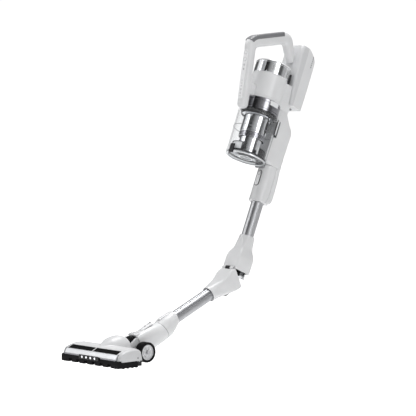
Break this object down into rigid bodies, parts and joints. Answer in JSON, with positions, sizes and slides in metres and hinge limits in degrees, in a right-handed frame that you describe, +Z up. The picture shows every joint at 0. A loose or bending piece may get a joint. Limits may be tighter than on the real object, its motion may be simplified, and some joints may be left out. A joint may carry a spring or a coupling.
{
  "type": "cordless stick vacuum",
  "caption": "Cordless stick vacuum with a loop handle, clear cyclone bin, folding aluminium wand and wheeled floor head.",
  "frame": {"origin": "on the floor, under the middle of the whole object's box", "axes": "+X is the side of the main unit that shows its release lever, -Y is the way the floor head faces, +Z is up"},
  "size_m": [0.236, 0.8108, 0.8902],
  "materials": {
    "white_plastic": "smooth semi-gloss moulded plastic",
    "white_trim": "gloss white plastic",
    "dark_plastic": "matt charcoal plastic",
    "soft_grey": "fine-grained soft-touch overmould",
    "rubber": "matt black rubber",
    "tyre": "black rubber tread",
    "polished_metal": "bright polished aluminium",
    "chrome": "bright mirror plating",
    "aluminium": "satin drawn aluminium",
    "steel": "turned steel",
    "dark_metal": "dark metallic gloss",
    "clear_plastic": "clear moulded plastic",
    "smoked_plastic": "smoked glossy plastic",
    "filter_media": "pleated filter paper",
    "bristle": "soft nylon bristles"
  },
  "bodies": {
    "main_unit": {"main_chassis": "white_plastic", "motor_housing": "white_plastic", "suction_motor": "polished_metal", "handle_frame": "white_plastic", "grip_insert": "soft_grey", "handle_panel": "white_trim", "battery_dock": "white_plastic", "cyclone_band": "dark_metal", "cyclone_shroud": "polished_metal", "cyclone_cone": "dark_plastic", "wand_connector": "white_plastic"},
    "impeller": {"impeller": "aluminium"},
    "power_button": {"power_button": "soft_grey"},
    "mode_button": {"mode_button": "soft_grey"},
    "wand_button": {"wand_button": "white_trim"},
    "battery": {"battery_pack": "white_plastic"},
    "battery_button": {"battery_button": "soft_grey"},
    "filter_cap": {"exhaust_ring": "polished_metal", "hepa_filter": "filter_media", "top_cap": "white_plastic"},
    "bin": {"dust_bin": "clear_plastic", "lid_hinge_pin": "steel"},
    "bin_lever": {"bin_lever": "white_trim"},
    "lid": {"bin_lid": "clear_plastic", "lid_seal": "rubber"},
    "lid_latch": {"lid_latch": "dark_plastic"},
    "upper_wand": {"upper_tube": "aluminium", "upper_knee_housing": "white_plastic", "knee_pin": "steel", "knee_latch": "chrome", "knee_hose": "rubber"},
    "lower_wand": {"lower_knee_housing": "white_plastic", "lower_tube": "aluminium", "wand_end": "white_plastic"},
    "knee_button": {"knee_button": "dark_plastic"},
    "neck": {"neck_body": "white_plastic"},
    "neck_latch": {"neck_latch": "white_trim"},
    "truck": {"wheel_truck": "dark_plastic", "wheel_axle": "steel", "neck_bellows": "rubber"},
    "wheel_left": {"hub_left": "white_trim", "tyre_left": "tyre"},
    "wheel_right": {"hub_right": "white_trim", "tyre_right": "tyre"},
    "head": {"head_base": "dark_plastic", "head_shell": "white_plastic", "roller_window_left": "smoked_plastic", "roller_window_right": "smoked_plastic", "trim_stripe": "polished_metal", "front_bumper": "rubber", "headlight_bar": "white_trim", "side_cap_left": "white_plastic", "brush_motor": "steel", "drive_belt": "rubber"},
    "brush": {"brush_core": "dark_plastic", "brush_bristles": "bristle"},
    "motor_pulley": {"motor_pulley": "dark_plastic"},
    "side_cap_right": {"side_cap_right": "white_plastic"},
    "sole_roller_left": {"sole_roller_left": "soft_grey"},
    "sole_roller_right": {"sole_roller_right": "soft_grey"}
  },
  "joints": [
    {"name": "impeller_spin", "type": "hinge", "parent": "main_unit", "child": "impeller", "pos_m": [0, 0.2534, 0.74838], "axis": [0, 0.3907, 0.9205], "continuous": true},
    {"name": "power_press", "type": "slide", "parent": "main_unit", "child": "power_button", "axis": [0, 0.9831, -0.1833], "range_m": [0, 0.0012], "stiffness_N_per_m": 400},
    {"name": "mode_press", "type": "slide", "parent": "main_unit", "child": "mode_button", "axis": [0, 0.9831, -0.1833], "range_m": [0, 0.0012], "stiffness_N_per_m": 400},
    {"name": "wand_button_press", "type": "slide", "parent": "main_unit", "child": "wand_button", "axis": [0, 0.9205, -0.3907], "range_m": [0, 0.0018], "stiffness_N_per_m": 500},
    {"name": "battery_pull", "type": "slide", "parent": "main_unit", "child": "battery", "axis": [0, 0.9205, -0.3907], "range_m": [0, 0.06]},
    {"name": "battery_button_press", "type": "slide", "parent": "battery", "child": "battery_button", "axis": [0, 0.3907, 0.9205], "range_m": [0, 0.0025], "stiffness_N_per_m": 500},
    {"name": "filter_pull", "type": "slide", "parent": "main_unit", "child": "filter_cap", "axis": [0, 0.3907, 0.9205], "range_m": [0, 0.025]},
    {"name": "bin_pull", "type": "slide", "parent": "main_unit", "child": "bin", "axis": [0, -0.3907, -0.9205], "range_m": [0, 0.06]},
    {"name": "bin_lever_press", "type": "slide", "parent": "bin", "child": "bin_lever", "axis": [0, -0.3907, -0.9205], "range_m": [0, 0.004], "stiffness_N_per_m": 500},
    {"name": "lid_hinge", "type": "hinge", "parent": "bin", "child": "lid", "pos_m": [0, 0.21819, 0.50803], "axis": [1, 0, 0], "range_deg": [0, 90]},
    {"name": "lid_latch_flex", "type": "hinge", "parent": "bin", "child": "lid_latch", "pos_m": [0, 0.11299, 0.57115], "axis": [1, 0, 0], "range_deg": [-15, 0], "stiffness_Nm_per_rad": 1},
    {"name": "upper_wand_pull", "type": "slide", "parent": "main_unit", "child": "upper_wand", "axis": [0, -0.3907, -0.9205], "range_m": [0, 0.07]},
    {"name": "knee", "type": "hinge", "parent": "upper_wand", "child": "lower_wand", "pos_m": [0, 0.09752, 0.22807], "axis": [1, 0, 0], "range_deg": [-45, 43.2], "deforming": ["knee_hose"]},
    {"name": "knee_button_press", "type": "slide", "parent": "lower_wand", "child": "knee_button", "axis": [0, -0.4035, 0.915], "range_m": [0, 0.002], "stiffness_N_per_m": 500},
    {"name": "neck_pull", "type": "slide", "parent": "lower_wand", "child": "neck", "axis": [0, -0.915, -0.4035], "range_m": [0, 0.035]},
    {"name": "neck_latch_press", "type": "slide", "parent": "neck", "child": "neck_latch", "axis": [0, 0.4035, -0.915], "range_m": [0, 0.0015], "stiffness_N_per_m": 500},
    {"name": "neck_pitch", "type": "hinge", "parent": "neck", "child": "truck", "pos_m": [0, -0.24907, 0.027], "axis": [1, 0, 0], "range_deg": [-47, 19.5], "deforming": ["neck_bellows"]},
    {"name": "wheel_left_spin", "type": "hinge", "parent": "truck", "child": "wheel_left", "pos_m": [0, -0.24907, 0.027], "axis": [1, 0, 0], "continuous": true},
    {"name": "wheel_right_spin", "type": "hinge", "parent": "truck", "child": "wheel_right", "pos_m": [0, -0.24907, 0.027], "axis": [1, 0, 0], "continuous": true},
    {"name": "head_swivel", "type": "hinge", "parent": "truck", "child": "head", "pos_m": [0, -0.29707, 0.014], "axis": [0, 0, 1], "range_deg": [-20, 20]},
    {"name": "brush_spin", "type": "hinge", "parent": "head", "child": "brush", "pos_m": [0, -0.36707, 0.0205], "axis": [1, 0, 0], "continuous": true},
    {"name": "motor_pulley_spin", "type": "hinge", "parent": "head", "child": "motor_pulley", "pos_m": [0, -0.33107, 0.026], "axis": [1, 0, 0], "continuous": true},
    {"name": "side_cap_pull", "type": "slide", "parent": "head", "child": "side_cap_right", "axis": [-1, 0, 0], "range_m": [0, 0.03]},
    {"name": "sole_roller_left_spin", "type": "hinge", "parent": "head", "child": "sole_roller_left", "pos_m": [0, -0.32707, 0.005], "axis": [1, 0, 0], "continuous": true},
    {"name": "sole_roller_right_spin", "type": "hinge", "parent": "head", "child": "sole_roller_right", "pos_m": [0, -0.32707, 0.005], "axis": [1, 0, 0], "continuous": true}
  ],
  "couplings": [
    {"joint": "motor_pulley_spin", "follows": "brush_spin", "ratio": 1.8}
  ]
}
